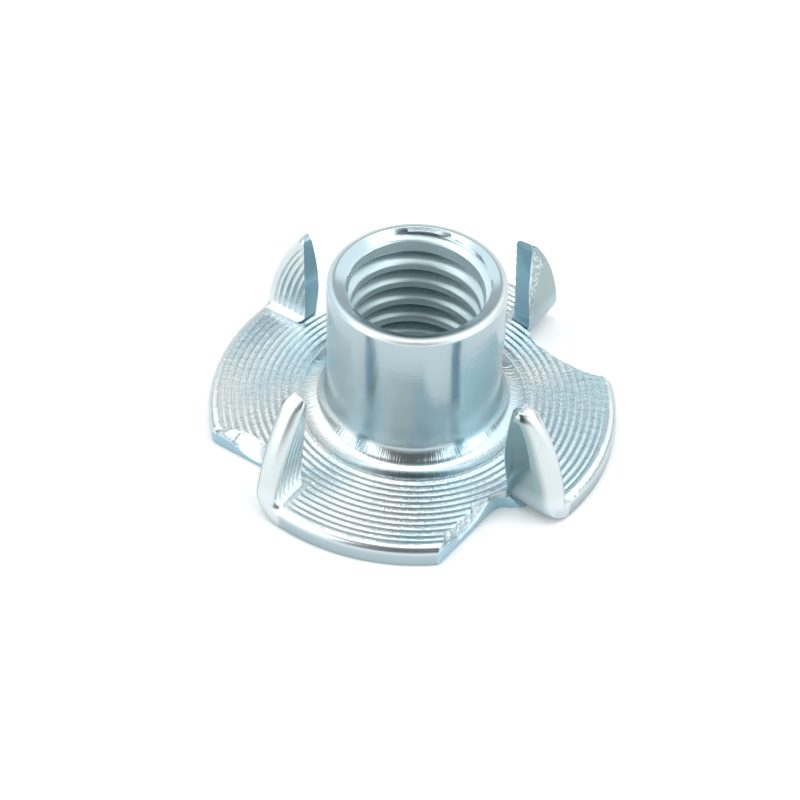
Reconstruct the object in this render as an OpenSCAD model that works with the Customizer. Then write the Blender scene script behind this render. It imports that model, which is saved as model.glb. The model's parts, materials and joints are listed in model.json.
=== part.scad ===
// Four-prong tee nut, drawn and folded from one disc of sheet steel.
// The axis of the thread is Z, and the underside of the flange lies on z = 0.

/* [Flange] */
// Diameter of the flange
flange_d = 22; // [21:0.5:25]
// Thickness of the sheet
sheet_t = 1.2; // [1:0.05:1.5]
// Radius rolled onto the upper edge of the flange
rim_r = 0.45; // [0.2:0.05:0.6]

/* [Barrel] */
// Outer diameter of the barrel
barrel_d = 9.32; // [9:0.02:10]
// Height of the nut from the underside of the flange to the barrel's end
nut_h = 9.5; // [9:0.1:14]
// Radius rolled onto the outer edge of the barrel's end
lip_r = 0.3; // [0.1:0.05:0.4]
// Width of the flare at the barrel's root, measured on the radius
root_w = 0.9; // [0.4:0.1:1.2]
// Height of that flare above the flange
root_h = 2.2; // [0.8:0.1:2.6]
// Radius of the drawn mouth on the underside
mouth_r = 1.1; // [0.5:0.1:1.2]

/* [Thread] */
// Nominal diameter of the thread
thread_d = 8; // [7.6:0.1:8.2]
// Pitch of the thread
thread_pitch = 1.25; // [1:0.05:1.4]
// Depth of the countersink at the barrel's end
sink_depth = 0.9; // [0.5:0.1:1.5]
// Width of the countersink, measured on the radius
sink_w = 0.9; // [0.3:0.05:1]

/* [Prongs] */
// Number of prongs
prongs = 4; // [3:1:4]
// Direction of the first prong's fold line, in degrees
fold_turn = -33; // [-60:0.5:-20]
// Distance of each fold line from the axis of the nut
fold_offset = 0.85; // [0.6:0.05:1.5]
// Inner radius of the fold
fold_r = 0.4; // [0.2:0.1:0.8]
// How far each prong and its cut stray from even spacing, in degrees
prong_stray = [-3.5, 0, 0, 0]; // [-4:0.5:4]
// How far each prong leans over its own lobe, past upright, in degrees
prong_lean = [-5, 2, 1, 3]; // [-8:1:6]
// Distance from the axis to the cut edge of each prong, along its fold line
prong_in = 8.1; // [7.6:0.05:8.4]
// Height of the prong tips above the underside of the flange
prong_h = 7.2; // [6:0.1:7.4]
// Distance from the bend down to the middle of the prong's outer edge, which keeps the flange's curve
prong_edge_drop = 1.5; // [1:0.1:1.8]

/* [Shear cut] */
// Gap that the shear leaves between each prong and the lobe it was cut from
shear_gap = [0.45, 0.75, 0.65, 0.15]; // [0.15:0.05:0.8]
// Slope of the cut face across a prong's thickness, in degrees
shear_slant = 15; // [5:1:20]
// How far the web at the root of each notch reaches along the fold line, past the cut edge of the prong
web_w = 1.8; // [0.8:0.1:2]
// Height of the burnished band at the foot of the cut face
burnish_h = 0.6; // [0.3:0.05:0.9]
// How far the torn band above it leans back
tear_w = 0.45; // [0.1:0.05:0.6]
// Length of the torn bevel on the back of each prong, down from the tip
tip_tear_h = [1.6, 5, 2.8, 2.4]; // [1:0.2:5.2]
// Width of that bevel at the height of the tip
tip_tear_w = [0.5, 2.2, 1.2, 0.7]; // [0.3:0.1:2.4]
// Depth of that bevel at the tip
tip_tear_t = 0.5; // [0.2:0.05:0.6]
// Radius at the root of each notch
notch_r = 0.7; // [0.2:0.1:0.8]

/* [Hidden] */
$fn = 96;
zinc = "#b9c6cb";
clear = 1;
eps = 0.01;
bend_steps = 12;
flare_steps = 8;
lip_steps = 4;
overrun = 2;
foot_w = 0.8;

flange_r = flange_d / 2;
barrel_r = barrel_d / 2;
bore_r = (thread_d - 1.04 * thread_pitch) / 2;

bend_z = sheet_t + fold_r;
notch_v = fold_offset + bend_z;
blade_h = prong_h - bend_z;
blade_u = sqrt(pow(flange_r, 2) - pow(prong_edge_drop, 2));
fold_u = sqrt(pow(flange_r, 2) - pow(fold_offset, 2));
edge_sweep = 90 - asin(prong_edge_drop / flange_r) + overrun;
bend_u = (fold_u + blade_u) / 2;
bend_taper = atan((fold_u - blade_u) / (2 * bend_z * sin(45)));

// Direction of a prong's fold line, and of the cut beside it
function turn(i) = fold_turn + i * 360 / prongs + prong_stray[i];

// Half section of a disc of sheet with one rolled edge
module rolled_disc(r) {
    square([r - rim_r, sheet_t]);
    square([r, sheet_t - rim_r]);
    translate([r - rim_r, sheet_t - rim_r]) circle(rim_r);
}

// Half section of the barrel, solid to the axis, with its lip and root flare
module barrel_section() {
    root_turns = [for (i = [0:flare_steps]) 90 * i / flare_steps];
    flare = [for (a = root_turns) [barrel_r + root_w * (1 - sin(a)), sheet_t + root_h * (1 - cos(a))]];
    lip_turns = [for (i = [0:lip_steps]) 90 * i / lip_steps];
    lip = [for (a = lip_turns) [barrel_r - lip_r * (1 - cos(a)), nut_h - lip_r * (1 - sin(a))]];
    polygon(concat([[0, 0], [barrel_r + root_w, 0]], flare, lip, [[0, nut_h]]));
}

// Half section of what is open inside: mouth, bore and countersink
module bore_section() {
    translate([0, -clear]) square([bore_r, nut_h + 2 * clear]);
    difference() {
        translate([0, -clear]) square([bore_r + mouth_r, mouth_r + clear]);
        translate([bore_r + mouth_r, mouth_r]) circle(mouth_r);
    }
    polygon([[0, nut_h - sink_depth], [bore_r, nut_h - sink_depth],
             [bore_r + sink_w, nut_h], [bore_r + sink_w, nut_h + clear], [0, nut_h + clear]]);
}

// The turned form before its prongs are cut
module drawn_blank() {
    rotate_extrude() difference() {
        union() {
            rolled_disc(flange_r);
            barrel_section();
        }
        bore_section();
    }
}

// The sheet that a cut takes out of the flange, seen along its fold line; a web stays where it meets the fold
module notch(i) {
    far = flange_d;
    cut_u = prong_in - shear_gap[i];
    translate([0, 0, -clear]) linear_extrude(sheet_t + 2 * clear) {
        polygon([[prong_in + web_w, -fold_offset], [cut_u + notch_r, -notch_v], [cut_u + notch_r, -far],
                 [far, -far], [far, -fold_offset]]);
        translate([cut_u, -far]) square([far, far - notch_v - notch_r]);
        translate([cut_u + notch_r, -notch_v - notch_r]) circle(notch_r);
    }
    translate([0, -notch_v - notch_r, 0]) rotate([90, 0, 0]) linear_extrude(far)
        polygon([[cut_u + eps, burnish_h], [cut_u - tear_w, sheet_t + eps], [cut_u + eps, sheet_t + eps]]);
}

// Section of a folded strip, seen along its fold line: foot, bend and blade
module strip_section(angle) {
    turns = [for (i = [0:bend_steps]) angle * i / bend_steps];
    outside = [for (a = turns) [fold_offset + bend_z * sin(a), bend_z - bend_z * cos(a)]];
    inside = [for (a = turns) [fold_offset + fold_r * sin(a), bend_z - fold_r * cos(a)]];
    rise = blade_h * [cos(angle), sin(angle)];
    polygon(concat(
        [[fold_offset - foot_w, 0]], outside, [outside[bend_steps] + rise, inside[bend_steps] + rise],
        [for (i = [bend_steps:-1:0]) inside[i]], [[fold_offset - foot_w, sheet_t]]));
}

// Section of the corner that the rolled edge takes off the sheet's upper face
module corner_section() {
    difference() {
        translate([-rim_r, -rim_r]) square(rim_r + fold_r / 2);
        translate([-rim_r, -rim_r]) circle(rim_r);
    }
}

// What is trimmed off a blade that is drawn flat, with its bend line on y = 0
module blade_trim(i) {
    tear_turn = atan(tip_tear_w[i] / tip_tear_h[i]);
    tear_tilt = atan(tip_tear_t / (tip_tear_w[i] * cos(tear_turn)));
    translate([0, prong_edge_drop, 0]) rotate([0, 0, -90]) rotate_extrude(angle = edge_sweep) {
        translate([flange_r, -clear]) square([flange_r, sheet_t + 2 * clear]);
        translate([flange_r, sheet_t]) corner_section();
    }
    translate([prong_in, tip_tear_h[i] - blade_h, 0]) rotate([0, 0, tear_turn]) rotate([0, tear_tilt, 0])
        translate([-flange_d, -flange_d / 2, -flange_d]) cube(flange_d);
    translate([prong_in, 0, sheet_t]) rotate([0, shear_slant, 0])
        translate([-flange_d, -flange_d / 2, -flange_d / 2]) cube(flange_d);
}

// One folded prong, with a foot that is sunk in the flange
module prong(i) {
    angle = 90 + prong_lean[i];
    slant_w = sheet_t * tan(shear_slant);
    difference() {
        translate([prong_in - slant_w, 0, 0]) rotate([90, 0, 90]) linear_extrude(flange_r - prong_in + slant_w)
            mirror([1, 0]) strip_section(angle);
        translate([blade_u - rim_r, -fold_offset, -clear]) cube([clear, fold_offset, sheet_t + 2 * clear]);
        translate([0, -fold_offset, bend_z]) rotate([-90, 0, 0]) rotate([0, 90, 0]) translate([0, 0, bend_u])
            rotate(a = bend_taper, v = [1, 1, 0]) rotate(-overrun) rotate_extrude(angle = angle + overrun) {
                translate([fold_r / 2, 0]) square([bend_z, clear]);
                translate([fold_r, 0]) mirror([1, 0]) corner_section();
            }
        translate([0, -fold_offset, bend_z]) rotate([-angle, 0, 0]) translate([0, 0, -bend_z]) blade_trim(i);
    }
}

module tee_nut() {
    color(zinc) {
        difference() {
            drawn_blank();
            for (i = [0:prongs - 1]) rotate(turn(i)) notch(i);
        }
        for (i = [0:prongs - 1]) rotate(turn(i)) prong(i);
    }
}

tee_nut();
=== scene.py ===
"""A four-prong tee nut: bright zinc on folded sheet steel, on a pale table under soft light.

The nut is one closed skin. A barrel grid runs from the flange up the wall, over the lip and down the thread.
A flange grid carries the pressed rings out to the edge of the sheet. Each prong is a loop round the sheet,
carried over its fold and up to its tip. Where the grids meet they share their points.
"""

import json
import math

import bmesh
import bpy
import numpy as np
from mathutils import Matrix, Vector


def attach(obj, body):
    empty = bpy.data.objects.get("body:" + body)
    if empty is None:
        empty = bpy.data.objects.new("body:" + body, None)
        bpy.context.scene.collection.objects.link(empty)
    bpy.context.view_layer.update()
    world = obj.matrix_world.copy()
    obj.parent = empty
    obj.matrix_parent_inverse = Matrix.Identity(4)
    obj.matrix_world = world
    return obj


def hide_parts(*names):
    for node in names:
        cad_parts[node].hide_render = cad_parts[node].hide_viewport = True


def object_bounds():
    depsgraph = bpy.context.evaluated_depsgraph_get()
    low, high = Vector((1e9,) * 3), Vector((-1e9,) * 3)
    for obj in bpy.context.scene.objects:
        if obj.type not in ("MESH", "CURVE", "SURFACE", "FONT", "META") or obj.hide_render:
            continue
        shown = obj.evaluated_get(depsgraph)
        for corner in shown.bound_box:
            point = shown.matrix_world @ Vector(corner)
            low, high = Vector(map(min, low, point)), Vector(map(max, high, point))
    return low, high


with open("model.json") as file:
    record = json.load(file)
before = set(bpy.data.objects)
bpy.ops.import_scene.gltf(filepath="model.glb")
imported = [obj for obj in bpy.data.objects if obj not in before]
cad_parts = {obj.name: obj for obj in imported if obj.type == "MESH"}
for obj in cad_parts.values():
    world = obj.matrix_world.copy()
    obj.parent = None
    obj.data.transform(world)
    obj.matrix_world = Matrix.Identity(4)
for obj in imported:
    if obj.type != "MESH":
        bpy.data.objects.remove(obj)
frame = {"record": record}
cad_low, cad_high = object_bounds()

# Lengths are in millimetres up to the point where a mesh, a node or the camera is made.
MM = 0.001
FULL_TURN = 2 * np.pi

MOUNTS = {mount["name"]: mount["dims"] for mount in frame["record"]["mounts"]}
NUT_HEIGHT = cad_high.z / MM
FLANGE_RADIUS = cad_high.x / MM
BARREL_RADIUS = MOUNTS["barrel"]["r_mm"]
CREST_RADIUS = MOUNTS["thread"]["r_mm"]

# Sheet and flange. The middle of a small round stands in by HALFWAY of its radius. The underside is divided
# at UNDERSIDE_RINGS and at the barrel's MOUTH_RING.
SHEET = 1.2
RIM_ROUND = 0.45
EDGE_ROUND = 0.12
HALFWAY = 0.3
JOINT_RADIUS = 6.1
UNDERSIDE_RINGS = (10.8, 9.6, 8.4, 7.2)
RING_FIRST, RING_PITCH, RING_COUNT = 6.72, 0.38, 10
RING_DEPTH = 0.085

# Barrel. The lip's land ends in a small chamfer above the countersink, whose profile is given by its points.
LIP_ROUND = 0.3
LAND_INNER, LAND_CHAMFER, LAND_DROP = 4.22, 0.03, 0.02
SINK_HEIGHTS, SINK_RADII = (7.7, 8.45, 9.08, 9.12, 9.48), (3.35, 3.5, 3.58, 3.62, 4.22)
FLARE_OUT, FLARE_UP, FLARE_LEAN, FLARE_MARGIN = 1.36, 2.1, 1.4, 0.04
MOUTH_ROUND, MOUTH_RING = 1.1, 5.2

# Thread. Its turns are counted up from THREAD_START, and its rows stand closer from the turn DENSE_FROM on.
THREAD_PITCH = 1.25
THREAD_START = -0.365
THREAD_DEPTH = 0.66
THREAD_SOFT = 0.04
CREST_HALF = 0.2
BURR_DROP, BURR_WIDTH, BURR_RISE = 0.185, 0.018, 0.022
THREAD_FOOT, THREAD_TOP = 0.08, 9.35
FIRST_TURN, DENSE_FROM, LAST_TURN = -2, 6, 9

# Fold. The rings are smoothed away up to CLEAR_OF_FOLD from a fold line.
FOLD_ROUND = 0.4
BEND_CENTRE = SHEET + FOLD_ROUND
BEND_MIDDLE = FOLD_ROUND + SHEET / 2
CLEAR_OF_FOLD = 0.5

# The torn bevel at a prong's foot, between its cut face and its smooth face: depth and width
BEVEL_LOW = 0.25
FOOT_TEAR = 0.04

# The two rounds of a blade's outer edge, as reach and rise: a wide one next to the rings, a small one below.
# The edge can draw in below the rise DRAWN_BELOW.
WIDE_ROUND = (0.5, 0.55)
SMALL_ROUND = (0.24, 0.45)
DRAWN_BELOW = 0.85

# Each prong:
# turn, fold    the direction of its fold line in degrees, and that line's distance from the axis
# lean          degrees past upright, over its own lobe
# inner, taper  the distance of its cut edge from the axis at the bend, and how much less it is at the tip
# slant         how much further in the cut face reaches at mid height, where it meets the bevel
# height, tip   the height of its tip above the flange's underside, and the radius that rounds it
# foot, torn    the bevel's width beyond FOOT_TEAR: from the fold on, and what is added to that at the tip
# bevel         its depth beyond BEVEL_LOW: at the tip, or if negative, from the fold on
# drop, edge    how far below the bend the outer curve has its centre, and how far out the curve is set
# under         how far the outer edge draws in on the smooth face
# rings, shine  how clear the pressed rings are, and how strong the painted highlight on the ringed face is,
# with its wear
# tint          the colour of the cut face, from 0.5, a pale copy painted as lit, to 1, its own blue
PRONGS = (
    dict(turn=-36.5, fold=0.9, lean=-5.0, inner=8.05, taper=-0.05, slant=0.45, height=7.6, tip=0.5,
         foot=0.1, torn=0.25, bevel=0.4, drop=0.3, edge=0.02, under=0.9, rings=0.5, shine=0.5, tint=0.5),
    dict(turn=57.0, fold=0.9, lean=2.0, inner=8.1, taper=0.05, slant=0.3, height=7.15, tip=0.3,
         foot=0.12, torn=3.0, bevel=-0.13, drop=1.9, edge=0.15, under=0.0, rings=0.5, shine=0.5, tint=1.0),
    dict(turn=147.0, fold=0.85, lean=1.0, inner=8.15, taper=0.05, slant=0.35, height=7.15, tip=0.3,
         foot=0.1, torn=1.2, bevel=0.4, drop=1.5, edge=0.0, under=0.0, rings=0.45, shine=0.1, tint=1.0),
    dict(turn=237.0, fold=0.85, lean=3.0, inner=8.45, taper=0.2, slant=0.2, height=7.1, tip=0.5,
         foot=0.1, torn=0.6, bevel=0.4, drop=1.5, edge=0.0, under=0.0, rings=0.7, shine=0.15, tint=0.5),
)
# Each notch, in front of the prong with the same number:
# turn, cut     the direction square to its cut in degrees, and the cut's distance from the axis
# corner        the radius where the cut meets the rim
# tear, rough   the width of the torn slope above the sheared band, and how ragged it is
# sheared       the heights of that band, evenly spaced from the rim to the root
NOTCHES = (
    dict(turn=-36.0, cut=7.65, corner=0.15, tear=0.6, rough=0.22, sheared=(1.0, 0.95, 0.45, 0.45, 0.7, 1.1)),
    dict(turn=57.0, cut=7.35, corner=0.45, tear=0.4, rough=0.08, sheared=(0.9, 0.7, 0.6, 0.6, 0.7, 0.9)),
    dict(turn=147.0, cut=7.45, corner=0.3, tear=0.4, rough=0.1, sheared=(0.9, 0.7, 0.6, 0.6, 0.7, 0.9)),
    dict(turn=237.0, cut=8.15, corner=0.45, tear=0.75, rough=0.03, sheared=(0.8, 0.65, 0.45, 0.3, 0.25, 0.3)),
)
QUARTERS = len(PRONGS)
ROUGHEST = max(notch["rough"] for notch in NOTCHES)

# Where a cut ends and turns into the slit beside a prong's foot, and how far that turn reaches at both ends.
# The slit's length and width, how much wider it is at the upper face, and what it closes to. How far the foot
# draws away from the axis along the slit. The web left under the foot: how far out it starts, its height.
ROOT_SIDE = 3.6
CUT_HANDLE, SLIT_HANDLE = 0.5, 0.25
SLIT_LENGTH, SLIT, SLIT_SPREAD, SLIT_END = 1.55, 0.1, 0.03, 0.01
FOOT_DRAW = 0.5
WEB_START, WEB_TOP = 0.25, 0.55

# The random tears at the cuts, the bands below them, and the burrs of the thread
TEAR_SEED, BAND_SEED, BURR_SEED = 7, 17, 41

# How finely each stretch is divided
BARREL_STEPS, FLARE_STEPS, WALL_STEPS, LIP_STEPS, FOOT_STEPS = 240, 16, 6, 6, 5
FOLD_STEPS, ARC_STEPS, CORNER_STEPS, CUT_STEPS, ROOT_STEPS, SLIT_STEPS = 34, 44, 6, 36, 12, 8
RING_STEPS = 6
BEND_STEPS, BLADE_STEPS, TIP_STEPS = 10, 30, 5
RIM_STEPS = 6

# The skin: points nearer than this are one point, and edges that turn more degrees than this are sharp
WELD = 0.0003
SHARP_TURN = 38

# Layers that the finish reads at each point, 0 to 1: pressed rings, torn steel, worn edges that also carry a
# painted highlight, sheared faces
LAYERS = ("ringed", "rough", "rubbed", "sheared")


def around(turn, out, side):
    """Turns distances out along a direction, and sideways to its clockwise side, into x and y."""
    angle = np.radians(turn)
    x = out * np.cos(angle) + side * np.sin(angle)
    y = out * np.sin(angle) - side * np.cos(angle)
    return np.stack((x, y), -1)


def smooth(share):
    """An even start and end for a share that climbs from 0 to 1."""
    return share * share * (3 - 2 * share)


def ring_relief(radius):
    """Pressed rings: -RING_DEPTH * (1 - (0.5 + 0.5 * cos(2 pi turns)) ** 2), faded out at both ends.

    The turns count the rings from the first one, so the crests stand at the sheet's face and are narrow.
    """
    turns = (radius - RING_FIRST) / RING_PITCH
    inner = np.clip((turns + 1) * 3, 0, 1)
    outer = np.clip((RING_COUNT - 0.2 - turns) * 2, 0, 1)
    wave = 1 - (0.5 + 0.5 * np.cos(FULL_TURN * turns)) ** 2
    return -RING_DEPTH * wave * inner * outer


def clear_of_folds(xy):
    """0 on a fold line, 1 from a short way off it and smooth between: the press smooths the sheet there."""
    share = np.ones(xy.shape[:-1])
    for prong in PRONGS:
        angle = math.radians(prong["turn"])
        out = xy[..., 0] * math.cos(angle) + xy[..., 1] * math.sin(angle)
        side = xy[..., 0] * math.sin(angle) - xy[..., 1] * math.cos(angle)
        away = np.hypot(side - prong["fold"], np.minimum(out - prong["inner"], 0))
        share = np.minimum(share, np.clip(away / CLEAR_OF_FOLD, 0, 1))
    return smooth(share)


# Levels run from the upper face of the sheet, over its edge, to the underside. On a prong's cut edge the last
# four are the bevel's.
LEVELS = RIM_STEPS + 4
BEVEL_LEVELS = 4


def rim_levels():
    """Inset and height down the rolled rim: a quarter circle, a straight wall and a small round below."""
    angle = np.linspace(0, np.pi / 2, RIM_STEPS + 1)
    inset = RIM_ROUND * (1 - np.sin(angle))
    height = SHEET - RIM_ROUND * (1 - np.cos(angle))
    inset = np.append(inset, [0, HALFWAY * EDGE_ROUND, EDGE_ROUND])
    return inset, np.append(height, [EDGE_ROUND, HALFWAY * EDGE_ROUND, 0])


def cut_levels(tear, sheared):
    """Inset and height down a lobe's cut edge: a torn slope above an upright band of the given heights."""
    steps = np.linspace(0, 1, RIM_STEPS + 1)
    inset = np.append((1 - steps) ** 0.8, [0, 0, 0])[:, None] * tear
    inset[-2:] += np.array([[HALFWAY], [1]]) * EDGE_ROUND
    low = np.outer([EDGE_ROUND, HALFWAY * EDGE_ROUND, 0], np.ones_like(sheared))
    return inset, np.concatenate((SHEET + (sheared - SHEET) * steps[:, None], low))


def prong_cut_levels(torn, bevel):
    """Inset and rise down a prong's cut edge: a burnished face from the ringed side, then a bevel.

    A rise is a height through the sheet, from the smooth face up. The bevel starts at the given rise, and the
    last value of each row is on the smooth face, where it is torn back from the cut.
    """
    torn, bevel = np.atleast_1d(torn)[:, None], np.atleast_1d(bevel)[:, None]
    burnish_share = np.array([0, 0.05, 0.27, 0.54, 0.81, 1, 1, 1, 1, 1])
    bevel_share = np.array([0, 0, 0, 0, 0, 0, 0.17, 0.43, 0.74, 1])
    return torn * bevel_share, SHEET - (SHEET - bevel) * burnish_share - bevel * bevel_share


def blade_levels():
    """Inset and rise over a blade's outer edge: a wide quarter round, a straight and a small round below."""
    above, below = np.linspace(0, np.pi / 2, RIM_STEPS), np.linspace(0, np.pi / 2, LEVELS - RIM_STEPS)
    inset = np.append(WIDE_ROUND[0] * (1 - np.sin(above)), SMALL_ROUND[0] * (1 - np.cos(below)))
    return inset, np.append(SHEET - WIDE_ROUND[1] * (1 - np.cos(above)), SMALL_ROUND[1] * (1 - np.sin(below)))


RIM_INSET, RIM_HEIGHT = rim_levels()
BLADE_INSET, BLADE_HEIGHT = blade_levels()
RIM_SHARE = np.append(np.linspace(0, 1, RIM_STEPS + 1), [1, 1, 1])


def ragged(steps, size, seed):
    """A torn line: smoothed random factors around 1, which stay within 1.6 times the given size of it."""
    noise = np.random.default_rng(seed).normal(size=steps)
    soft = np.convolve(np.pad(noise, 2, mode="wrap"), [0.15, 0.2, 0.3, 0.2, 0.15], mode="valid")
    return 1 + size * np.clip(soft / soft.std(), -1.6, 1.6)


def foot_line(prong):
    """The two ends of a prong's fold line at each level, as distances along that line."""
    inset, _ = prong_cut_levels(FOOT_TEAR, BEVEL_LOW)
    start = prong["inner"] + FOOT_DRAW + inset[0]
    end = np.sqrt((FLANGE_RADIUS - RIM_INSET) ** 2 - prong["fold"] ** 2)
    return start, end


def quadrant(number):
    """The edge of a quarter of the flange at every level, from one prong's fold line round to the next slit.

    Gives x and y as (levels, columns, 2), heights as (levels, columns), and how torn each column is, 0 to 1.
    """
    after = (number + 1) % QUARTERS
    prong, following, notch = PRONGS[number], PRONGS[after], NOTCHES[after]
    turn_on = 360 if after == 0 else 0
    start, end = foot_line(prong)
    foot_height = prong_cut_levels(FOOT_TEAR, BEVEL_LOW)[1][0]
    share = np.linspace(0, 1, FOLD_STEPS + 1)
    out = start[:, None] + (end - start)[:, None] * share
    fold = around(prong["turn"], out, prong["fold"])
    fold_height = foot_height[:, None] + (RIM_HEIGHT - foot_height)[:, None] * share

    # The tear along the cut is widest at its middle and thins out at both ends.
    share = np.linspace(0, 1, CUT_STEPS + 1)
    swell = np.sin(np.pi * np.clip(share * 1.1, 0, 1)) ** 0.5
    rough = 0.25 + 0.75 * swell * ragged(CUT_STEPS + 1, notch["rough"], TEAR_SEED + number)
    sheared = np.interp(share, np.linspace(0, 1, len(notch["sheared"])), notch["sheared"])
    sheared += 0.2 * notch["rough"] * swell * (ragged(CUT_STEPS + 1, 1, BAND_SEED + number) - 1)
    cut_inset, cut_height = cut_levels(notch["tear"] * rough, sheared)
    cut_out = notch["cut"] - cut_inset
    first_out = cut_out[:, :1]
    edge = (FLANGE_RADIUS - RIM_INSET)[:, None]
    corner = notch["corner"]
    reach = np.sqrt((edge - corner) ** 2 - (first_out - corner) ** 2)

    arc_start = np.radians(prong["turn"]) - np.arcsin(prong["fold"] / edge)
    arc_end = np.radians(notch["turn"] + turn_on) - np.arctan2(reach, first_out - corner)
    share = np.linspace(0, 1, ARC_STEPS + 2)[1:-1]
    angle = arc_start + (arc_end - arc_start) * share
    arc = edge[..., None] * np.stack((np.cos(angle), np.sin(angle)), -1)
    arc_height = np.repeat(RIM_HEIGHT[:, None], ARC_STEPS, 1)

    sweep_end = np.arctan2(reach, first_out - corner)
    share = np.linspace(0, 1, CORNER_STEPS + 1)
    sweep = sweep_end * (1 - share)
    corner_out = first_out - corner + corner * np.cos(sweep)
    corner_xy = around(notch["turn"], corner_out, reach + corner * np.sin(sweep))
    corner_height = RIM_HEIGHT[:, None] + (cut_height[:, :1] - RIM_HEIGHT[:, None]) * share

    share = np.linspace(0, 1, CUT_STEPS + 1)[1:]
    side = reach + (ROOT_SIDE - reach) * share
    cut = around(notch["turn"], cut_out[:, 1:], side)

    # The root bends from the cut into the slit, as a cubic curve at every level. Below it is the web.
    web = np.append(np.zeros(LEVELS - 3), [1, 1, 1])[:, None]
    slit_top = following["fold"] + SLIT_LENGTH
    spread = SLIT_SPREAD * (1 - RIM_SHARE[:, None])
    slit_out = following["inner"] - SLIT - spread
    closing = SLIT + spread - SLIT_END
    first = cut[:, -1]
    second = around(notch["turn"], cut_out[:, -1], ROOT_SIDE - CUT_HANDLE)
    third = around(following["turn"], slit_out[:, 0] - SLIT_HANDLE, slit_top + SLIT_HANDLE)
    fourth = around(following["turn"], slit_out[:, 0] + WEB_START * web[:, 0], slit_top)
    share = np.linspace(0, 1, ROOT_STEPS + 1)[1:, None]
    root = (
        (1 - share) ** 3 * first[:, None] + 3 * (1 - share) ** 2 * share * second[:, None]
        + 3 * (1 - share) * share ** 2 * third[:, None] + share ** 3 * fourth[:, None]
    )
    share = np.linspace(0, 1, SLIT_STEPS + 1)[1:]
    along_web = np.interp(share, (0, 0.15, 0.35, 0.6, 1), (WEB_START, 0.5, 0.85, 0.85, FOOT_DRAW))
    draw = FOOT_DRAW * share ** 2 + closing * share
    slit_side = slit_top - SLIT_LENGTH * share
    slit = around(following["turn"], slit_out + draw + (along_web - draw) * web, slit_side)
    root = np.concatenate((root, slit), 1)
    share = np.clip(np.arange(1, ROOT_STEPS + SLIT_STEPS + 1) / ROOT_STEPS, 0, 1)
    _, web_height = cut_levels(0, np.array([WEB_TOP]))
    root_height = cut_height[:, -1:] + (web_height - cut_height[:, -1:]) * share

    xy = np.concatenate((fold, arc, corner_xy, cut, root), 1)
    height = np.concatenate((fold_height, arc_height, corner_height, cut_height[:, 1:], root_height), 1)
    torn = np.concatenate((
        np.zeros(FOLD_STEPS + 1 + ARC_STEPS + 1), np.ones(CORNER_STEPS + CUT_STEPS),
        np.full(ROOT_STEPS + SLIT_STEPS, 0.4),
    ))
    return xy, height, torn * notch["rough"] / ROUGHEST


def flange_grid():
    """Rings by columns: a column follows one direction out to the edge, over it and back along the underside.

    The radius of a ring is held to the edge of the sheet, so rings stay true circles up to the cut. Also
    gives which faces are made, as none close the edge along a fold line, and the layers for the finish.
    """
    parts = [quadrant(number) for number in range(QUARTERS)]
    xy = np.concatenate([part[0] for part in parts], 1)
    height = np.concatenate([part[1] for part in parts], 1)
    torn = np.concatenate([part[2] for part in parts])
    xy = np.concatenate((xy, xy[:, :1]), 1)
    height = np.concatenate((height, height[:, :1]), 1)
    torn = np.append(torn, torn[0])

    rings = np.arange(JOINT_RADIUS, FLANGE_RADIUS - RIM_ROUND, RING_PITCH / RING_STEPS)
    rings = np.append(rings, FLANGE_RADIUS - RIM_ROUND)
    below = np.array([*UNDERSIDE_RINGS, JOINT_RADIUS])

    def held(edge, radii, joint):
        """Circles of the given radii held to an edge; the row at the joint has its points on the barrel's."""
        reach = np.linalg.norm(edge, axis=-1)
        direction = edge / reach[:, None]
        radius = np.minimum(radii[:, None], reach)
        points = radius[..., None] * direction
        step = FULL_TURN / BARREL_STEPS
        column = np.round(np.unwrap(np.arctan2(direction[:, 1], direction[:, 0])) / step)
        count = np.arange(len(column))
        snapped = (count + np.maximum.accumulate((column - count)[::-1])[::-1]) * step
        points[joint] = JOINT_RADIUS * np.stack((np.cos(snapped), np.sin(snapped)), -1)
        return points, radius

    top, top_radius = held(xy[0], rings, 0)
    under, _ = held(xy[-1], below, -1)
    top_height = SHEET + ring_relief(top_radius) * clear_of_folds(top)
    edge_height = height.copy()
    reach = np.linalg.norm(xy[0], axis=-1)
    edge_height[0] = SHEET + ring_relief(reach) * clear_of_folds(xy[0])
    grid = np.concatenate((
        np.concatenate((top, top_height[..., None]), -1),
        np.concatenate((xy, edge_height[..., None]), -1),
        np.concatenate((under, np.zeros(under.shape[:2] + (1,))), -1),
    ))
    rows = len(rings)
    made = np.ones((len(grid) - 1, grid.shape[1] - 1), bool)
    width = (grid.shape[1] - 1) // QUARTERS
    for number in range(QUARTERS):
        made[rows:rows + LEVELS - 1, number * width:number * width + FOLD_STEPS] = False
    ringed, rough, rubbed, sheared = layers = np.zeros((len(LAYERS), *grid.shape[:2]))
    ringed[:rows] = 1
    rough[rows:rows + RIM_STEPS] = torn
    rough[rows + RIM_STEPS] = 0.3 * torn
    # The rim's round gets a painted highlight, brightest at its upper face, together with wear
    rubbed[rows:rows + RIM_STEPS] = np.linspace(0.5, 0.25, RIM_STEPS)[:, None]
    sheared[rows + RIM_STEPS:rows + LEVELS] = torn > 0
    return grid, made, layers


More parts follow.
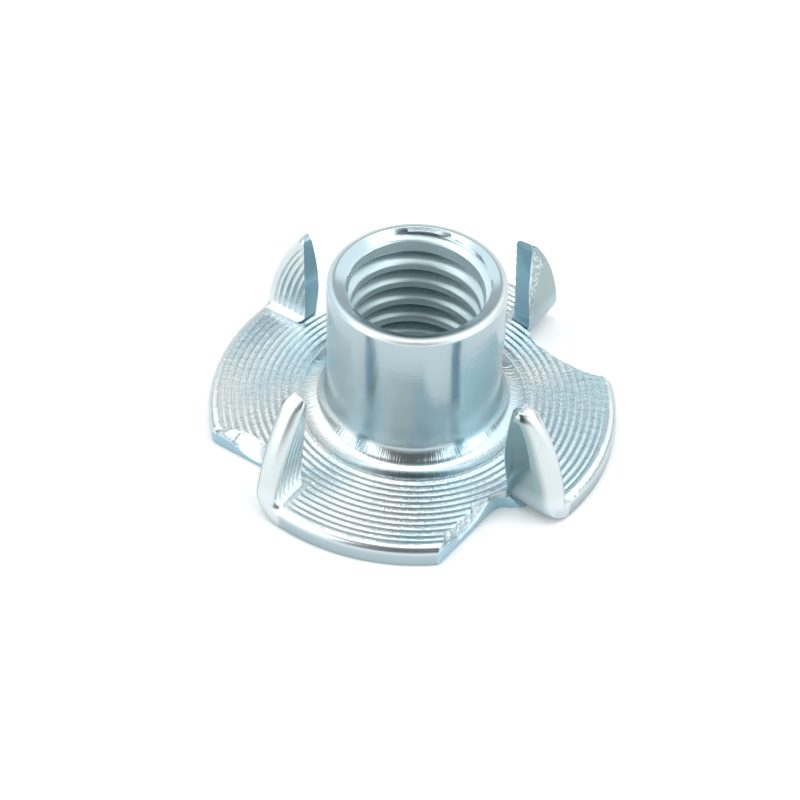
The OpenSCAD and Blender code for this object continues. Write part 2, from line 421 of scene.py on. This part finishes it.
def prong_grid(prong):
    """A loop round the sheet, carried over the fold and up the blade to a rounded tip.

    Along the sheet the loop's width runs from the cut edge to the curved outer edge. The fold turns the sheet
    about a line above it, and past the fold the sheet goes straight on.
    """
    turned = np.radians(90 + prong["lean"])
    bend = turned * BEND_MIDDLE
    straight = prong["height"] - BEND_CENTRE
    tip = prong["tip"]
    along = np.concatenate((
        np.linspace(0, bend, BEND_STEPS + 1),
        bend + np.linspace(0, straight - tip, BLADE_STEPS + 1)[1:],
        bend + straight - tip + tip * np.sin(np.linspace(0, np.pi / 2, TIP_STEPS + 1)[1:]),
    ))
    past_tip = np.clip((along - bend - straight + tip) / tip, 0, 1)
    round_off = tip * (1 - np.sqrt(1 - past_tip ** 2))

    fold_end = np.sqrt(FLANGE_RADIUS ** 2 - prong["fold"] ** 2)
    blade = np.maximum(along - bend, 0)
    curve = prong["edge"] + np.sqrt(FLANGE_RADIUS ** 2 - (blade + prong["drop"]) ** 2)
    share = np.clip(along / bend, 0, 1)
    ease = smooth(share)
    outer = np.where(along < bend, fold_end + (curve - fold_end) * ease, curve)

    blade_share = np.clip(blade / straight, 0, 1)
    inner = prong["inner"] + FOOT_DRAW * (1 - share) ** 2 - prong["taper"] * blade_share
    width = outer - inner
    torn = FOOT_TEAR + prong["foot"] * ease + prong["torn"] * blade_share ** 2.5
    bevel = BEVEL_LOW + max(prong["bevel"], 0) * blade_share ** 1.5 + min(prong["bevel"], 0) * ease
    slant = prong["slant"] * ease * (0.3 + 0.7 * np.sin(np.pi * blade_share))
    cut_inset, cut_rise = prong_cut_levels(np.minimum(torn, np.maximum(width - 0.3, 0.1)), bevel)
    lean_in = slant[:, None] * np.clip((SHEET - cut_rise) / (SHEET - bevel)[:, None], 0, 1)
    cut_side = inner[:, None] + cut_inset - lean_in
    foot_out = np.sqrt((FLANGE_RADIUS - RIM_INSET) ** 2 - prong["fold"] ** 2) - fold_end
    drawn_at = (0, 0.3 * bend, bend, bend + 3, along[-1])
    under = prong["under"] * np.interp(along, drawn_at, (0, 0.9, 0.95, 1, 0.35))
    blade_out = -BLADE_INSET - under[:, None] * np.clip(1 - BLADE_HEIGHT / DRAWN_BELOW, 0, 1) ** 1.6
    rim_out = foot_out + (blade_out - foot_out) * ease[:, None]
    rim_side = outer[:, None] + rim_out * np.minimum(1, 0.5 * width / RIM_ROUND)[:, None]
    bevel_fall = (bevel / torn)[:, None]
    bevel_start = (inner - slant)[:, None]

    def bevelled(out, rise):
        """Keeps a rise above the plane of the bevel."""
        return np.maximum(rise, bevel[:, None] - bevel_fall * (out - bevel_start))

    across = np.linspace(0, 1, FOLD_STEPS + 1)
    top_out = cut_side[:, :1] + (rim_side[:, :1] - cut_side[:, :1]) * across
    under_out = rim_side[:, -1:] + (cut_side[:, -1:] - rim_side[:, -1:]) * across
    ring = np.sqrt((top_out + (fold_end - outer)[:, None]) ** 2 + prong["fold"] ** 2)
    fade = np.interp(share, (0, 0.75, 1), (0, 0.05, prong["rings"])) * np.clip(1.5 - 0.9 * blade_share, 0, 1)
    fade = fade[:, None]
    top_rise = SHEET + ring_relief(ring) * fade
    rim_rise = bevelled(rim_side, RIM_HEIGHT + (BLADE_HEIGHT - RIM_HEIGHT) * ease[:, None])
    cut_rise = bevelled(cut_side, cut_rise)
    out = np.concatenate((top_out, rim_side[:, 1:-1], under_out, cut_side[:, -2:0:-1], top_out[:, :1]), 1)
    rise = np.concatenate((
        top_rise, rim_rise[:, 1:-1], bevelled(under_out, 0), cut_rise[:, -2:0:-1], top_rise[:, :1],
    ), 1)

    centre = (out.min(1) + out.max(1))[:, None] / 2
    half = (out.max(1) - out.min(1))[:, None] / 2
    out = centre + (out - centre) * np.maximum(1 - round_off[:, None] / half, 0.1)
    rise = SHEET / 2 + (rise - SHEET / 2) * np.maximum(1 - round_off[:, None] / (SHEET / 2 + 0.05), 0.15)

    angle = np.minimum(along / BEND_MIDDLE, turned)[:, None]
    lever = BEND_CENTRE - rise
    go_on = np.maximum(along - bend, 0)[:, None]
    side = prong["fold"] + lever * np.sin(angle) + go_on * np.cos(angle)
    height = BEND_CENTRE - lever * np.cos(angle) + go_on * np.sin(angle)
    grid = np.concatenate((around(prong["turn"], out, side), height[..., None]), -1)
    cap = np.repeat(grid[-1:].mean(1, keepdims=True), grid.shape[1], 1)
    grid = np.concatenate((grid, cap))

    ringed, rough, rubbed, sheared = layers = np.zeros((len(LAYERS), *grid.shape[:2]))
    ringed[:, :FOLD_STEPS + 1] = np.append(fade, 0)[:, None]
    ringed[:, -1] = ringed[:, 0]
    first_cut = FOLD_STEPS + 1 + LEVELS - 2 + FOLD_STEPS
    bevel_end = first_cut + BEVEL_LEVELS
    rough[:, first_cut:bevel_end] = np.append(np.clip(blade_share * 4, 0, 1), 1)[:, None]
    rough[:, :FOLD_STEPS + 1] = 0.4 * np.append(np.sin(np.pi * share), 0)[:, None]
    # Painted highlight, with wear: on the ringed face, growing towards the fold and then set by shine, on the
    # outer edge and on the bevel
    shine = np.interp(along, (0, 0.5 * bend, bend, bend + 1.5), (0, 0.6, 0.6, prong["shine"]))
    rubbed[:, :FOLD_STEPS + 1] = np.append(shine, shine[-1])[:, None]
    rubbed[:, FOLD_STEPS + 1:FOLD_STEPS + LEVELS - 2] = 0.5
    rubbed[:, first_cut:bevel_end] = 0.6 * np.append(np.clip(blade_share * 3, 0, 1), 1)[:, None]
    rubbed[0] *= 0.5
    # At 0.5 the cut face is painted pale, as if lit; at 1 it keeps its own blue
    sheared[:, bevel_end:-1] = prong["tint"]
    return grid, np.ones((len(grid) - 1, grid.shape[1] - 1), bool), layers


def thread_radius(height, angle):
    """An internal thread: flat crests and roots joined by 60 degree flanks, climbing one pitch a turn.

    The depth is sqrt(3) * (distance from the crest's middle - CREST_HALF), held between 0 and THREAD_DEPTH
    with its corners softened. Also gives the burr at each crest's lower edge, a bell curve of the height.
    """
    phase = (height - THREAD_START) / THREAD_PITCH - angle / FULL_TURN
    away = THREAD_PITCH * np.abs(phase - np.round(phase))
    depth = math.sqrt(3) * (away - CREST_HALF)
    depth = THREAD_SOFT * np.logaddexp(0, depth / THREAD_SOFT)
    room = THREAD_SOFT * np.logaddexp(0, (THREAD_DEPTH - depth) / THREAD_SOFT)
    radius = CREST_RADIUS + THREAD_DEPTH - room
    below = THREAD_PITCH * (phase - np.round(phase)) + BURR_DROP
    size = np.random.default_rng(BURR_SEED).uniform(0.4, 1.0, (LAST_TURN - FIRST_TURN + 1, angle.size))
    size[:-1, -1] = size[1:, 0]
    size = size[np.round(phase).astype(int) - FIRST_TURN, np.arange(angle.size)]
    return radius, BURR_RISE * size * np.exp(-(below / BURR_WIDTH) ** 2)


def barrel_grid():
    """Rows by columns: up flare and wall, over the lip, down the countersink and thread, out at the mouth.

    The flare is BARREL_RADIUS + FLARE_OUT * (1 - sin a) ** FLARE_LEAN out and FLARE_UP * (1 - cos a) up. The
    thread's rows climb with the helix and are held between its two ends. Near the countersink there are more
    of them, which fan out from their neighbours over one turn.
    """
    quarter = np.linspace(0, np.pi / 2, FLARE_STEPS + 1)
    flare_radius = BARREL_RADIUS + FLARE_OUT * (1 - np.sin(quarter)) ** FLARE_LEAN
    flare = np.stack((flare_radius, SHEET + FLARE_UP * (1 - np.cos(quarter))), -1)
    wall_top = NUT_HEIGHT - LIP_ROUND
    wall_height = np.linspace(SHEET + FLARE_UP, wall_top, WALL_STEPS + 1)[1:-1]
    wall = np.stack((np.full_like(wall_height, BARREL_RADIUS), wall_height), -1)
    quarter = np.linspace(0, np.pi / 2, LIP_STEPS + 1)
    lip_radius = BARREL_RADIUS - LIP_ROUND * (1 - np.cos(quarter))
    lip = np.stack((lip_radius, wall_top + LIP_ROUND * np.sin(quarter)), -1)
    land = [[LAND_INNER + LAND_CHAMFER, NUT_HEIGHT], [LAND_INNER, NUT_HEIGHT - LAND_DROP]]
    joint = [[JOINT_RADIUS, SHEET], [BARREL_RADIUS + FLARE_OUT + FLARE_MARGIN, SHEET]]
    above = np.concatenate((joint, flare, wall, lip, land))

    angle = np.linspace(0, FULL_TURN, BARREL_STEPS + 1)
    # Where the rows of one turn stand, as shares of the pitch from the middle of the crest
    phases = np.array([
        -0.41, -0.32, -0.25, -0.2, -0.175, -0.16, -0.148, -0.136, -0.11,
        0.11, 0.145, 0.17, 0.2, 0.25, 0.32, 0.41, 0.5,
    ])
    dense = np.sort(np.append(phases, [-0.45, -0.365, -0.285, 0, 0.285, 0.365, 0.455]))
    fanned = phases[np.abs(dense[:, None] - phases).argmin(1)]
    low_turns = np.arange(FIRST_TURN, DENSE_FROM)[:, None]
    high_turns = np.arange(DENSE_FROM + 1, LAST_TURN)[:, None]
    coarse, fine = (low_turns + phases).ravel(), (high_turns + dense).ravel()
    start = THREAD_START + THREAD_PITCH * np.concatenate((coarse, DENSE_FROM + fanned, fine))
    finish = THREAD_START + THREAD_PITCH * np.concatenate((coarse, DENSE_FROM + dense, fine))
    used = (start > THREAD_FOOT - THREAD_PITCH) & (start < THREAD_TOP)
    start = np.concatenate(([THREAD_FOOT - THREAD_PITCH], start[used], [THREAD_TOP]))[::-1, None]
    finish = np.concatenate(([THREAD_FOOT - THREAD_PITCH], finish[used], [THREAD_TOP]))[::-1, None]
    height = start + (finish - start + THREAD_PITCH) * angle / FULL_TURN
    height = np.clip(height, THREAD_FOOT, THREAD_TOP)
    sink = np.interp(height, SINK_HEIGHTS, SINK_RADII)
    drop = np.clip(MOUTH_ROUND - height, 0, MOUTH_ROUND)
    mouth = CREST_RADIUS + MOUTH_ROUND - np.sqrt(MOUTH_ROUND ** 2 - drop ** 2)
    thread, burr = thread_radius(height, angle)
    radius = np.maximum(np.maximum(thread - burr, sink), mouth)

    foot = np.linspace(THREAD_FOOT, 0, FOOT_STEPS + 1)[1:]
    foot_radius = CREST_RADIUS + MOUTH_ROUND - np.sqrt(MOUTH_ROUND ** 2 - (MOUTH_ROUND - foot) ** 2)
    below = np.concatenate((np.stack((foot_radius, foot), -1), [[MOUTH_RING, 0], [JOINT_RADIUS, 0]]))

    def turned(profile):
        """The radii and heights of a profile, repeated in every direction."""
        return np.repeat(profile[:, :1], len(angle), 1), np.repeat(profile[:, 1:], len(angle), 1)

    over_radius, over_height = turned(above)
    under_radius, under_height = turned(below)
    radius = np.concatenate((over_radius, radius, under_radius))
    height = np.concatenate((over_height, height, under_height))
    return np.stack((radius * np.cos(angle), radius * np.sin(angle), height), -1)


def grid_faces(rows, columns, made, first):
    """Quads that join each point of a grid to its neighbours, numbered from its first point."""
    index = first + np.arange(rows * columns).reshape(rows, columns)
    quads = np.stack((index[:-1, :-1], index[1:, :-1], index[1:, 1:], index[:-1, 1:]), -1)
    return quads[made]


def tee_nut_mesh():
    """Puts the grids into one mesh and welds the points that they share."""
    barrel = barrel_grid()
    flange, made, flange_layers = flange_grid()
    whole = np.ones((barrel.shape[0] - 1, barrel.shape[1] - 1), bool)
    blank = np.zeros((len(LAYERS), *barrel.shape[:2]))
    grids = [(barrel[::-1], whole, blank), (flange, made, flange_layers)]
    grids += [prong_grid(prong) for prong in PRONGS]

    points, faces, first = [], [], 0
    for grid, kept, _ in grids:
        faces.append(grid_faces(*grid.shape[:2], kept, first))
        points.append(grid.reshape(-1, 3))
        first += grid.shape[0] * grid.shape[1]
    mesh = bpy.data.meshes.new("tee_nut_skin")
    mesh.from_pydata(np.concatenate(points) * MM, [], np.concatenate(faces))
    values = np.concatenate([layers.reshape(len(LAYERS), -1) for _, _, layers in grids], 1)
    for name, value in zip(LAYERS, values.astype(np.float32)):
        mesh.attributes.new(name, "FLOAT", "POINT").data.foreach_set("value", value)

    work = bmesh.new()
    work.from_mesh(mesh)
    bmesh.ops.remove_doubles(work, verts=work.verts, dist=WELD * MM)
    loose = [point for point in work.verts if not point.link_faces]
    bmesh.ops.delete(work, geom=loose, context="VERTS")
    work.to_mesh(mesh)
    work.free()
    mesh.shade_smooth()
    mesh.set_sharp_from_angle(angle=math.radians(SHARP_TURN))
    return mesh


skin = bpy.data.objects.new("tee_nut_zinc", tee_nut_mesh())
bpy.context.scene.collection.objects.link(skin)
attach(skin, "root")
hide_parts("tee_nut")


class Value:
    """A socket that adds Math nodes when Python's operators are used on it."""

    def __init__(self, paint, socket):
        self.paint, self.socket = paint, socket

    def _math(self, operation, first, second):
        return self.paint.node("ShaderNodeMath", dict(operation=operation), {0: first, 1: second})

    def __add__(self, other):
        return self._math("ADD", self, other)

    def __radd__(self, other):
        return self._math("ADD", other, self)

    def __sub__(self, other):
        return self._math("SUBTRACT", self, other)

    def __rsub__(self, other):
        return self._math("SUBTRACT", other, self)

    def __mul__(self, other):
        return self._math("MULTIPLY", self, other)

    def __rmul__(self, other):
        return self._math("MULTIPLY", other, self)

    def __truediv__(self, other):
        return self._math("DIVIDE", self, other)


class Paint:
    """The nodes of a material or world. A node is added from its type, settings and inputs."""

    def __init__(self, block, shader="Principled BSDF"):
        block.use_nodes = True
        self.block, self.tree = block, block.node_tree
        self.shader = self.tree.nodes[shader]

    def node(self, kind, settings=None, inputs=None, output=0):
        """Adds a node and gives one of its outputs, by name or number."""
        made = self.tree.nodes.new(kind)
        for name, value in (settings or {}).items():
            setattr(made, name, value)
        for name, value in (inputs or {}).items():
            self.feed(made.inputs[name], value)
        return Value(self, made.outputs[output])

    def feed(self, socket, value):
        if isinstance(value, Value):
            self.tree.links.new(value.socket, socket)
        else:
            socket.default_value = value

    def attribute(self, name):
        """One of the mesh's layers."""
        return self.node("ShaderNodeAttribute", dict(attribute_name=name), output=2)

    def vector(self, operation, inputs, output="Vector"):
        return self.node("ShaderNodeVectorMath", dict(operation=operation), dict(enumerate(inputs)), output)

    def mix(self, factor, first, second):
        """A blend of two colours, by the node's colour sockets: 6 and 7 in, 2 out."""
        return self.node("ShaderNodeMix", dict(data_type="RGBA"), {0: factor, 6: first, 7: second}, output=2)

    def ramp(self, value, start, end):
        """Climbs smoothly from 0 at the start to 1 at the end, which may be the smaller number."""
        settings = dict(interpolation_type="SMOOTHSTEP")
        return self.node("ShaderNodeMapRange", settings, {"Value": value, "From Min": start, "From Max": end})

    def along(self, vector, direction):
        return self.vector("DOT_PRODUCT", (vector, direction), "Value")

    def stretch(self, vector, factors):
        return self.vector("MULTIPLY", (vector, factors))

    def noise(self, vector, scale, detail):
        """Cloudy noise with a mean of 0.5; the scale is its number of cells a metre."""
        return self.node("ShaderNodeTexNoise", inputs={"Vector": vector, "Scale": scale, "Detail": detail})

    def size_of(self, value):
        return self.node("ShaderNodeMath", dict(operation="ABSOLUTE"), {0: value})


# How far the fine relief of the finish stands out
RELIEF = 0.05


def zinc_finish():
    """Bright blue zinc: a pale metal with faint blue clouds, grained on the rings and rough where it tore.

    Each mask is a smooth step of the distance from the axis or of the height. The grain is bump: noise in the
    piece's own coordinates, in beads that follow each ring of the side lobes and in spokes on the flare.
    """
    paint = Paint(bpy.data.materials.new("bright_zinc"))
    place = paint.node("ShaderNodeTexCoord", output="Object")
    ringed, rough, rubbed, sheared = [paint.attribute(name) for name in LAYERS]
    flat = paint.stretch(place, (1, 1, 0))
    radial = paint.vector("NORMALIZE", (flat,))
    radius = paint.vector("LENGTH", (flat,), "Value")
    height = paint.along(place, (0, 0, 1))
    aside = paint.size_of(paint.along(radial, (1, 0, 0)))

    upward = paint.node("ShaderNodeCombineXYZ", inputs={"Z": 35 * radius})
    each_ring = paint.vector("ADD", (radial, upward))
    inside = paint.ramp(radius, 4.0 * MM, 3.6 * MM) * paint.ramp(height, 9.3 * MM, 8.9 * MM)
    outside = paint.ramp(radius, 4.3 * MM, 4.4 * MM)
    wall = outside * paint.ramp(radius, 5.2 * MM, 4.8 * MM)
    lip = outside * paint.ramp(height, 9.25 * MM, 9.4 * MM)
    fillet = paint.ramp(radius, 4.75 * MM, 5.0 * MM) * paint.ramp(radius, 6.4 * MM, 6.1 * MM)
    blades = paint.ramp(radius, 5.6 * MM, 6.0 * MM) * paint.ramp(height, 1.7 * MM, 2.6 * MM)
    lobes = paint.ramp(aside, 0.45, 0.75) * paint.ramp(height, 1.7 * MM, 1.4 * MM)
    lobes = lobes * paint.ramp(radius, 5.1 * MM, 5.4 * MM)

    clouds = paint.noise(place, 160, 2)
    grain = paint.noise(place, 9000, 3)
    torn = paint.noise(place, 6500, 4)
    dust = paint.noise(place, 14000, 2)
    turning = paint.noise(paint.stretch(place, (0.03, 0.03, 1)), 7000, 3)
    beads = paint.noise(each_ring, 36, 1)
    spokes = paint.noise(radial, 55, 3)

    pale, blue = (0.60, 0.64, 0.64, 1), (0.46, 0.58, 0.63, 1)
    # Painted shade colours: a darker grey for the faces that are not ringed, and a darker teal grey for the
    # prong blades
    painted_shade_grey, blade_painted_shade = (0.38, 0.47, 0.50, 1), (0.27, 0.36, 0.37, 1)
    thread_teal, bright = (0.53, 0.66, 0.68, 1), (0.91, 0.93, 0.93, 1)
    painted_lit_cut, blue_cut = (0.58, 0.78, 0.92, 1), (0.31, 0.50, 0.58, 1)
    colour = paint.mix(paint.ramp(clouds, 0.38, 0.62), pale, blue)
    # Painted shade: faces other than the rings, lip and fillet are painted darker, and the prong blades
    # darker still, for darker reflections
    unringed_shade = 1 - paint.ramp(ringed + lip + fillet, 0.0, 0.3)
    colour = paint.mix(unringed_shade, colour, painted_shade_grey)
    colour = paint.mix(unringed_shade * blades, colour, blade_painted_shade)
    colour = paint.mix(inside, colour, thread_teal)
    # Painted light: cut faces near 0.5, on the front prongs, are painted pale so they read lit in
    # reflections; 1 is the cut's own blue
    colour = paint.mix(paint.ramp(sheared, 0.0, 0.5), colour, painted_lit_cut)
    colour = paint.mix(paint.ramp(sheared, 0.5, 1.0), colour, blue_cut)
    # Painted highlight: this layer paints worn edges and faces near white, broken up where torn; it also
    # roughens them as wear
    speckled_highlight = rubbed * (1 - 0.9 * paint.ramp(rough, 0.4, 0.9) * paint.ramp(torn, 0.4, 0.55))
    colour = paint.mix(speckled_highlight, colour, bright)
    paint.feed(paint.shader.inputs["Base Color"], colour)
    paint.feed(paint.shader.inputs["Metallic"], 1 - 0.5 * inside - 0.3 * lip - 0.6 * sheared)
    dullness = 0.18 + 0.15 * rough + 0.12 * inside + 0.2 * lip + 0.24 * rubbed
    paint.feed(paint.shader.inputs["Roughness"], dullness)
    relief = (
        grain * (0.06 + 0.3 * ringed + 0.4 * lip) + dust * ringed * 0.5 + torn * rough * 1.1
        + turning * wall * 0.05 + spokes * fillet * 0.35 + beads * lobes * 0.6 + grain * lobes * 0.3
    )
    bump = paint.node("ShaderNodeBump", inputs={"Height": relief, "Distance": RELIEF * MM, "Strength": 1.0})
    paint.feed(paint.shader.inputs["Normal"], bump)
    return paint.block


skin.data.materials.append(zinc_finish())


def table_finish():
    """A matt, near white table, which the camera and the metal both see as white."""
    paint = Paint(bpy.data.materials.new("pale_table"))
    paint.shader.inputs["Base Color"].default_value = (0.92, 0.92, 0.92, 1)
    paint.shader.inputs["Roughness"].default_value = 0.9
    paint.shader.inputs["Specular IOR Level"].default_value = 0.0
    return paint.block


def table():
    """A square sheet under the nut."""
    half = 0.6
    corners = [(-half, -half, 0), (half, -half, 0), (half, half, 0), (-half, half, 0)]
    mesh = bpy.data.meshes.new("table")
    mesh.from_pydata(corners, [], [(0, 1, 2, 3)])
    floor = bpy.data.objects.new("table", mesh)
    bpy.context.scene.collection.objects.link(floor)
    mesh.materials.append(table_finish())


table()


def studio_air():
    """The studio's walls: pale grey, brighter at the back and darker behind the camera, with soft panels.

    One panel is a strip overhead, two stand at the sides, and two fainter ones stand between sides and back.
    """
    world = bpy.data.worlds.new("studio")
    bpy.context.scene.world = world
    paint = Paint(world, "Background")
    way = paint.node("ShaderNodeTexCoord", output="Generated")

    def panel(turn, rise, width, height, soft):
        """1 inside a rectangle seen in one direction, and smooth at its edges.

        The turn is clockwise from the back wall and the rise is up from the floor, both in degrees. The sizes
        are tangents of half the angles that it fills.
        """
        turn, rise = math.radians(turn), math.radians(rise)
        ahead = (math.sin(turn) * math.cos(rise), math.cos(turn) * math.cos(rise), math.sin(rise))
        aside = (math.cos(turn), -math.sin(turn), 0)
        upward = (-math.sin(turn) * math.sin(rise), -math.cos(turn) * math.sin(rise), math.cos(rise))
        depth = paint.along(way, ahead)
        across = paint.size_of(paint.along(way, aside) / depth)
        up = paint.size_of(paint.along(way, upward) / depth)
        return (
            paint.ramp(across, width + soft, width) * paint.ramp(up, height + soft, height)
            * paint.ramp(depth, 0.0, 0.1)
        )

    back = panel(0, 50, 0.9, 0.7, 0.8)
    top = panel(180, 88, 0.6, 0.12, 0.08)
    dark = panel(180, 40, 0.5, 0.45, 0.15)
    left = panel(-122, 26, 0.33, 0.4, 0.12)
    right = panel(118, 26, 0.4, 0.4, 0.12)
    behind = panel(-58, 42, 0.28, 0.35, 0.2) + panel(58, 42, 0.28, 0.35, 0.2)
    light = 0.53 + 0.32 * back - 0.36 * dark + 3.0 * top + 2.1 * (left + right) + 0.9 * behind
    at_side = paint.ramp(paint.size_of(paint.along(way, (1, 0, 0))), 0.4, 0.9)
    white, cool_white = (1, 1, 1, 1), (0.94, 1.01, 1.03, 1)
    shade = paint.mix(at_side, white, cool_white)
    paint.feed(paint.shader.inputs["Color"], shade)
    paint.feed(paint.shader.inputs["Strength"], light)


studio_air()


def camera():
    """Stands in front at 45 degrees, level apart from a small roll, with the nut a little off its axis."""
    focal_px, frame_px, sensor_mm = 2000.0, 800.0, 36.0
    flange_px, flange_mm, origin_px = 202.3, 11.0, (412.6, 410.6)
    rise, roll = math.radians(45.37), math.radians(-1.86)
    distance = focal_px / flange_px * flange_mm
    across = (origin_px[0] - frame_px / 2) / focal_px * distance
    up_by = -(origin_px[1] - frame_px / 2) / focal_px * distance
    level, lifted = Vector((1, 0, 0)), Vector((0, math.sin(rise), math.cos(rise)))
    right = math.cos(roll) * level - math.sin(roll) * lifted
    up = math.sin(roll) * level + math.cos(roll) * lifted
    back = Vector((0, -math.cos(rise), math.sin(rise)))
    data = bpy.data.cameras.new("camera")
    data.sensor_width, data.lens = sensor_mm, sensor_mm * focal_px / frame_px
    data.clip_start, data.clip_end = 0.005, 10.0
    body = bpy.data.objects.new("camera", data)
    place = (back * distance - right * across - up * up_by) * MM
    turned = Matrix((right, up, back)).transposed().to_4x4()
    body.matrix_world = Matrix.Translation(place) @ turned
    bpy.context.scene.collection.objects.link(body)
    bpy.context.scene.camera = body


camera()

bpy.context.scene.view_settings.view_transform = "Standard"
